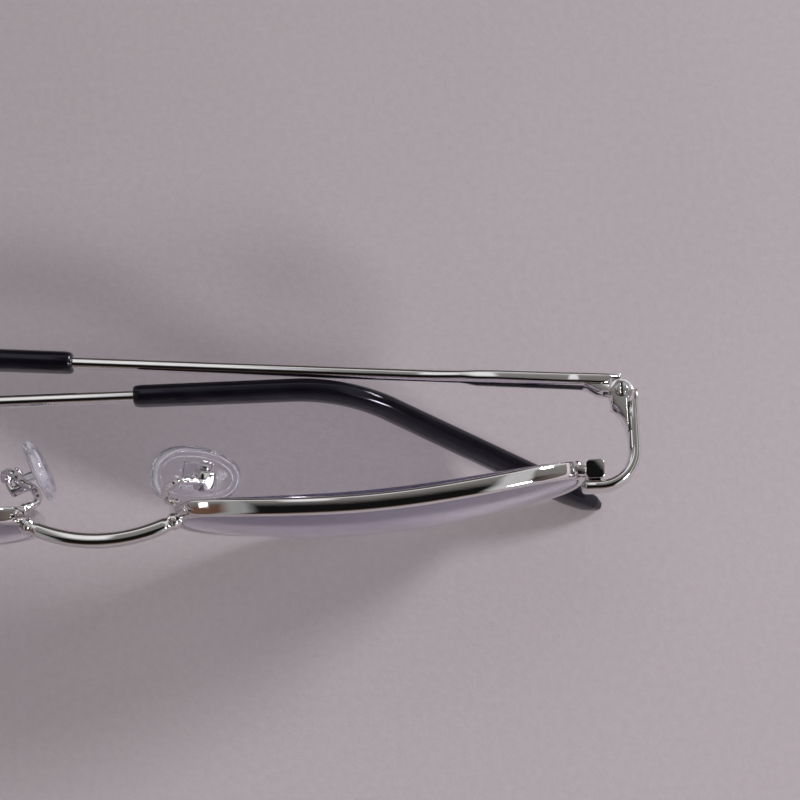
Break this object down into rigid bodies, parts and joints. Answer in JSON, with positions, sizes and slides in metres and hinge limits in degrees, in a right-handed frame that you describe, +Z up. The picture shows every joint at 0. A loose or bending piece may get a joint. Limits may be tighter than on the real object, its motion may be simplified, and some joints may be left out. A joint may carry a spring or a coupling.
{
  "type": "reading glasses",
  "caption": "Full-rim metal reading glasses with a bowed bridge, clear nose pads on wire arms and folding temples with black tips, shown folded",
  "frame": {"origin": "middle of the bounding box at floor level, glasses folded and standing on the rims and the temple tips", "axes": "+X to the wearer's left, along the long side; +Y from the front towards the wearer; +Z up"},
  "size_m": [0.1396, 0.0284, 0.0395],
  "materials": {
    "frame": "polished silver plating",
    "screw": "polished steel screws",
    "lens": "clear with a faint lavender coating",
    "pad": "clear moulded plastic",
    "tip": "glossy black, slightly blue"
  },
  "bodies": {
    "front": {"left_rim": "frame", "right_rim": "frame", "left_lens": "lens", "right_lens": "lens", "bridge": "frame", "left_end_piece": "frame", "right_end_piece": "frame", "left_lock_top": "frame", "right_lock_top": "frame", "left_lock_bottom": "frame", "right_lock_bottom": "frame", "left_lock_screw": "screw", "right_lock_screw": "screw", "left_front_hinge": "frame", "right_front_hinge": "frame", "left_hinge_screw": "screw", "right_hinge_screw": "screw", "left_pad_arm": "frame", "right_pad_arm": "frame", "left_pad_box": "frame", "right_pad_box": "frame", "left_pad_screw": "screw", "right_pad_screw": "screw"},
    "left_temple_body": {"left_temple": "frame", "left_temple_hinge": "frame", "left_tip_sleeve": "tip"},
    "right_temple_body": {"right_temple": "frame", "right_temple_hinge": "frame", "right_tip_sleeve": "tip"},
    "left_pad_body": {"left_nose_pad": "pad", "left_pad_core": "pad"},
    "right_pad_body": {"right_nose_pad": "pad", "right_pad_core": "pad"}
  },
  "joints": [
    {"name": "left_temple_hinge_joint", "type": "hinge", "parent": "front", "child": "left_temple_body", "pos_m": [0.06759, 0.00402, 0.03124], "axis": [0, 0, -1], "range_deg": [0, 85.5]},
    {"name": "right_temple_hinge_joint", "type": "hinge", "parent": "front", "child": "right_temple_body", "pos_m": [-0.06759, 0.00402, 0.03124], "axis": [0, 0, 1], "range_deg": [0, 89.4]},
    {"name": "left_pad_rock", "type": "hinge", "parent": "front", "child": "left_pad_body", "pos_m": [0.0125, -0.00348, 0.02254], "axis": [0.191, 0.9135, 0.3591], "range_deg": [-10, 10]},
    {"name": "right_pad_rock", "type": "hinge", "parent": "front", "child": "right_pad_body", "pos_m": [-0.0121, -0.00258, 0.02154], "axis": [-0.4067, 0.9135, 0.0071], "range_deg": [-4, 10]}
  ]
}
